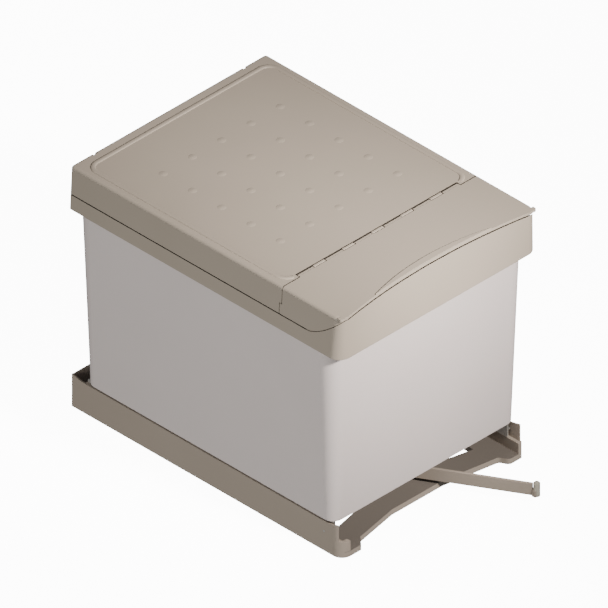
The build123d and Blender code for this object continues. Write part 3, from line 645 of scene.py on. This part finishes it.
@dataclass
class TrayDetail:
    """The base tray's moulded detail: a raised seat round each screw hole. Sizes are in metres."""

    finishes: NodeFinishes
    spacing_x: float = 0.256
    spacing_y: float = 0.3
    plate_top: float = 0.008
    hole_radius: float = 0.0026
    seat_radius: float = 0.0062
    seat_height: float = 0.0009
    edge_round: float = 0.0003
    sink: float = 0.0002
    seat_sides: int = 40
    round_steps: int = 3

    def build(self) -> None:
        """Build and dress the screw seats: a profile turned round each hole."""
        sizes = {"Spacing X": self.spacing_x, "Spacing Y": self.spacing_y,
                 "Radius": (self.hole_radius + self.seat_radius) / 2,
                 "Width": self.seat_radius - self.hole_radius, "Height": self.seat_height + self.sink,
                 "Round": self.edge_round}
        tree, source = Moulding.new_tree("tray_screw_seats", sizes)
        size = source.outputs
        grid = add_node(tree, "GeometryNodeMeshGrid", inputs={
            "Size X": size["Spacing X"], "Size Y": size["Spacing Y"], "Vertices X": 2, "Vertices Y": 2})
        ring = add_node(tree, "GeometryNodeCurvePrimitiveCircle", inputs={
            "Resolution": self.seat_sides, "Radius": size["Radius"]})
        box = add_node(tree, "GeometryNodeCurvePrimitiveQuadrilateral", {"mode": "RECTANGLE"}, {
            "Width": size["Width"], "Height": size["Height"]})
        profile = add_node(tree, "GeometryNodeFilletCurve", {"mode": "POLY"}, {
            "Curve": box.outputs["Curve"], "Count": self.round_steps, "Radius": size["Round"],
            "Limit Radius": True})
        seat = add_node(tree, "GeometryNodeCurveToMesh", inputs={
            "Curve": ring.outputs["Curve"], "Profile Curve": profile.outputs["Curve"]})
        seats = add_node(tree, "GeometryNodeInstanceOnPoints", inputs={
            "Points": grid.outputs["Mesh"], "Instance": seat.outputs["Mesh"]})
        middle = self.plate_top + (self.seat_height - self.sink) / 2
        moved = add_node(tree, "GeometryNodeTransform", inputs={
            "Geometry": seats.outputs["Instances"], "Translation": (0, 0, middle)})
        Moulding.close_tree(tree, source, moved.outputs["Geometry"])
        moulding = Moulding(self.finishes)
        moulding.piece("tray_screw_seats", tree, sizes, ARM_TAUPE, Body.BASE)


@dataclass
class BucketDetail:
    """The buckets' moulded detail: stiffening beads inside, and a ribbed grip on each bail. In metres."""

    finishes: NodeFinishes
    bead_count: int = 3
    bead_pitch: float = 0.012
    bead_low: float = 0.196
    bead_half_width: float = 0.0014
    bead_sides: int = 10
    corner: float = 0.026
    corner_steps: int = 12
    wall: float = 0.0022
    rim_reach: float = 0.008
    rim_z: float = 0.2538
    draft: float = 0.038416
    grip_length: float = 0.078
    grip_width: float = 0.007
    grip_height: float = 0.0062
    grip_rib_count: int = 12
    grip_rib_share: float = 0.6
    grip_groove: float = 0.0004
    grip_round: float = 0.0016
    grip_round_steps: int = 5
    bail_width: float = 0.006

    def bead_tree(self, side: str, sizes: dict[str, float]) -> bpy.types.NodeTree:
        """Build the tree of one bucket's inside beads.

        Args:
            side: "front" or "rear".
            sizes: The tree's sizes.

        Returns:
            The tree.
        """
        low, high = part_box(f"{side}_bucket")
        inset = self.rim_reach + self.wall + self.draft * (self.rim_z - self.bead_low)
        tree, source = Moulding.new_tree(f"{side}_bucket_beads", sizes)
        size = source.outputs
        outline = add_node(tree, "GeometryNodeCurvePrimitiveQuadrilateral", {"mode": "RECTANGLE"}, {
            "Width": high[0] - low[0] - 2 * inset, "Height": high[1] - low[1] - 2 * inset})
        path = add_node(tree, "GeometryNodeFilletCurve", {"mode": "POLY"}, {
            "Curve": outline.outputs["Curve"], "Count": self.corner_steps, "Radius": size["Corner"],
            "Limit Radius": True})
        profile = add_node(tree, "GeometryNodeCurvePrimitiveCircle", inputs={
            "Resolution": self.bead_sides, "Radius": size["Half Width"]})
        bead = add_node(tree, "GeometryNodeCurveToMesh", inputs={
            "Curve": path.outputs["Curve"], "Profile Curve": profile.outputs["Curve"]})
        middle = ((low[0] + high[0]) / 2, (low[1] + high[1]) / 2, self.bead_low)
        line = add_node(tree, "GeometryNodeMeshLine", inputs={
            "Count": size["Count"], "Start Location": middle, "Offset": (0, 0, self.bead_pitch)})
        # Each higher bead is a little larger, because the bucket widens upwards
        index = add_node(tree, "GeometryNodeInputIndex").outputs["Index"]
        growth = self.bead_pitch * self.draft / ((high[0] - low[0]) / 2)
        scale = add_node(tree, "ShaderNodeMath", {"operation": "MULTIPLY_ADD"}, {
            0: index, 1: growth, 2: 1.0})
        beads = add_node(tree, "GeometryNodeInstanceOnPoints", inputs={
            "Points": line.outputs["Mesh"], "Instance": bead.outputs["Mesh"], "Scale": scale.outputs[0]})
        Moulding.close_tree(tree, source, beads.outputs["Instances"])
        return tree

    def grip_tree(self, side: str, sizes: dict[str, float]) -> bpy.types.NodeTree:
        """Build the tree of one bail's grip: a round-cornered sleeve with finger ribs.

        Args:
            side: "front" or "rear".
            sizes: The tree's sizes.

        Returns:
            The tree.
        """
        low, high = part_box(f"{side}_bail")
        tree, source = Moulding.new_tree(f"{side}_bail_grip", sizes)
        size = source.outputs
        middle_z = (low[2] + high[2]) / 2
        middle_y = low[1] + self.bail_width / 2
        pitch = self.grip_length / self.grip_rib_count
        deep = 2 * self.grip_groove
        core = (self.grip_length, self.grip_width - deep, self.grip_height - deep, 1)
        ribs = (pitch * self.grip_rib_share, self.grip_width, self.grip_height, self.grip_rib_count)
        parts = []
        for length, width, height, count in (core, ribs):
            box = add_node(tree, "GeometryNodeCurvePrimitiveQuadrilateral", {"mode": "RECTANGLE"}, {
                "Width": width, "Height": height})
            profile = add_node(tree, "GeometryNodeFilletCurve", {"mode": "POLY"}, {
                "Curve": box.outputs["Curve"], "Count": self.grip_round_steps, "Radius": size["Round"],
                "Limit Radius": True})
            run = add_node(tree, "GeometryNodeCurvePrimitiveLine", inputs={
                "Start": (-length / 2, 0, 0), "End": (length / 2, 0, 0)})
            sleeve = add_node(tree, "GeometryNodeCurveToMesh", inputs={
                "Curve": run.outputs["Curve"], "Profile Curve": profile.outputs["Curve"],
                "Fill Caps": True})
            line = add_node(tree, "GeometryNodeMeshLine", inputs={
                "Count": count, "Start Location": (-pitch * (count - 1) / 2, middle_y, middle_z),
                "Offset": (pitch, 0, 0)})
            copies = add_node(tree, "GeometryNodeInstanceOnPoints", inputs={
                "Points": line.outputs["Mesh"], "Instance": sleeve.outputs["Mesh"]})
            parts.append(copies.outputs["Instances"])
        joined = add_node(tree, "GeometryNodeJoinGeometry")
        for part in parts:
            tree.links.new(part, joined.inputs["Geometry"])
        Moulding.close_tree(tree, source, joined.outputs["Geometry"])
        return tree

    def build(self) -> None:
        """Build and dress both buckets' pieces."""
        moulding = Moulding(self.finishes)
        for side, bucket, bail in (("front", Body.FRONT_BUCKET, Body.FRONT_BAIL),
                                   ("rear", Body.REAR_BUCKET, Body.REAR_BAIL)):
            sizes = {"Count": self.bead_count, "Corner": self.corner, "Half Width": self.bead_half_width}
            moulding.piece(f"{side}_bucket_beads", self.bead_tree(side, sizes), sizes, BUCKET_GREY, bucket)
            sizes = {"Round": self.grip_round}
            moulding.piece(f"{side}_bail_grip", self.grip_tree(side, sizes), sizes, DARK_TAUPE, bail,
                           smooth=False)


@dataclass(frozen=True)
class Softbox:
    """A square softbox: its middle and the point it faces in metres, its side, power, grid and colour."""

    name: str
    place: tuple[float, float, float]
    target: tuple[float, float, float]
    size: float
    watts: float
    spread: float
    colour: str

    def add(self) -> None:
        """Add the light to the scene, out of the camera's sight."""
        data = bpy.data.lights.new(self.name, "AREA")
        data.size = self.size
        data.energy = self.watts
        data.spread = math.radians(self.spread)
        data.color = linear_colour(self.colour)[:3]
        light = bpy.data.objects.new(self.name, data)
        light.location = self.place
        light.rotation_euler = (Vector(self.target) - Vector(self.place)).to_track_quat("-Z", "Y").to_euler()
        light.visible_camera = False
        bpy.context.scene.collection.objects.link(light)


# The key stands in front of the lid behind a narrow grid, so that the lid's back falls off in tone
KEY = Softbox("key_softbox", place=(0.05, -1.9, 1.6), target=(0.0, 0.0, 0.27), size=0.2, watts=3.75,
              spread=28.0, colour="fff9f4")
# The fill is low and bare, so it lights the left sides and barely reaches the lid
FILL = Softbox("side_fill", place=(-1.5, -0.15, 0.3), target=(-0.15, 0.0, 0.2), size=0.6, watts=10.8,
               spread=180.0, colour="fffefa")


@dataclass
class Studio:
    """The white sweep, the lights and the camera. Angles are in degrees and sizes in metres."""

    azimuth: float = -45.0
    elevation: float = 35.0
    aim: tuple[float, float, float] = (0.0058, -0.0058, 0.1837)
    frame_width: float = 0.7161
    distance: float = 3.0
    floor_size: float = 12.0
    wall_radius: float = 9.0
    wall_divisions: int = 4
    sweep_colour: str = "ffffff"
    sweep_roughness: float = 0.9
    sweep_glow: float = 12.0
    surround_strength: float = 0.16
    surround_colour: str = "fdfdff"

    def sweep_material(self) -> bpy.types.Material:
        """Build the glowing white of floor and wall.

        Returns:
            A white material that glows evenly.
        """
        material = bpy.data.materials.new("studio_sweep")
        material.use_nodes = True
        shader = material.node_tree.nodes["Principled BSDF"]
        shader.inputs["Base Color"].default_value = linear_colour(self.sweep_colour)
        shader.inputs["Roughness"].default_value = self.sweep_roughness
        shader.inputs["Emission Color"].default_value = linear_colour(self.sweep_colour)
        shader.inputs["Emission Strength"].default_value = self.sweep_glow
        return material

    def add_sweep(self, name: str, mesh: bpy.types.Mesh, material: bpy.types.Material) -> None:
        """Add a part of the sweep that the camera sees and that lights nothing.

        Args:
            name: Its name.
            mesh: Its mesh.
            material: The sweep's material.
        """
        mesh.materials.append(material)
        part = bpy.data.objects.new(name, mesh)
        bpy.context.scene.collection.objects.link(part)
        part.visible_diffuse = False
        part.visible_glossy = False
        part.visible_transmission = False
        part.visible_shadow = False

    def build_sweep(self) -> None:
        """Build the plain floor and the wall round it."""
        material = self.sweep_material()
        half = self.floor_size / 2
        floor = bpy.data.meshes.new("floor")
        floor.from_pydata([(-half, -half, 0), (half, -half, 0), (half, half, 0), (-half, half, 0)], [],
                          [(0, 1, 2, 3)])
        self.add_sweep("floor", floor, material)
        wall = bpy.data.meshes.new("wall")
        shell = bmesh.new()
        bmesh.ops.create_icosphere(shell, subdivisions=self.wall_divisions, radius=self.wall_radius)
        bmesh.ops.reverse_faces(shell, faces=shell.faces)
        shell.to_mesh(wall)
        shell.free()
        self.add_sweep("wall", wall, material)

    def build_lights(self) -> None:
        """Build the key in front, the weak side fill and the even surround."""
        KEY.add()
        FILL.add()
        world = bpy.data.worlds.new("studio_surround")
        world.use_nodes = True
        shade = world.node_tree.nodes["Background"]
        shade.inputs["Color"].default_value = linear_colour(self.surround_colour)
        shade.inputs["Strength"].default_value = self.surround_strength
        bpy.context.scene.world = world

    def build_camera(self) -> None:
        """Build the camera at the photograph's angle; it sees without perspective."""
        azimuth = math.radians(self.azimuth)
        elevation = math.radians(self.elevation)
        away = Vector((math.sin(azimuth) * math.cos(elevation), -math.cos(azimuth) * math.cos(elevation),
                       math.sin(elevation)))
        data = bpy.data.cameras.new("camera")
        data.type = "ORTHO"
        data.ortho_scale = self.frame_width
        camera = bpy.data.objects.new("camera", data)
        camera.location = Vector(self.aim) + away * self.distance
        camera.rotation_euler = (-away).to_track_quat("-Z", "Y").to_euler()
        bpy.context.scene.collection.objects.link(camera)
        bpy.context.scene.camera = camera

    def build(self) -> None:
        """Build camera, sweep and lights."""
        self.build_camera()
        self.build_sweep()
        self.build_lights()


def main() -> None:
    """Load the frame, dress it and build the studio."""
    logging.basicConfig(level=logging.INFO, format="%(message)s")
    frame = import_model()
    finishes = NodeFinishes()
    finishes.dress(frame["nodes"])
    LidDetail(finishes).build()
    FlapDetail(finishes).build()
    BucketDetail(finishes).build()
    TrayDetail(finishes).build()
    Studio().build()


if __name__ == "__main__":
    main()
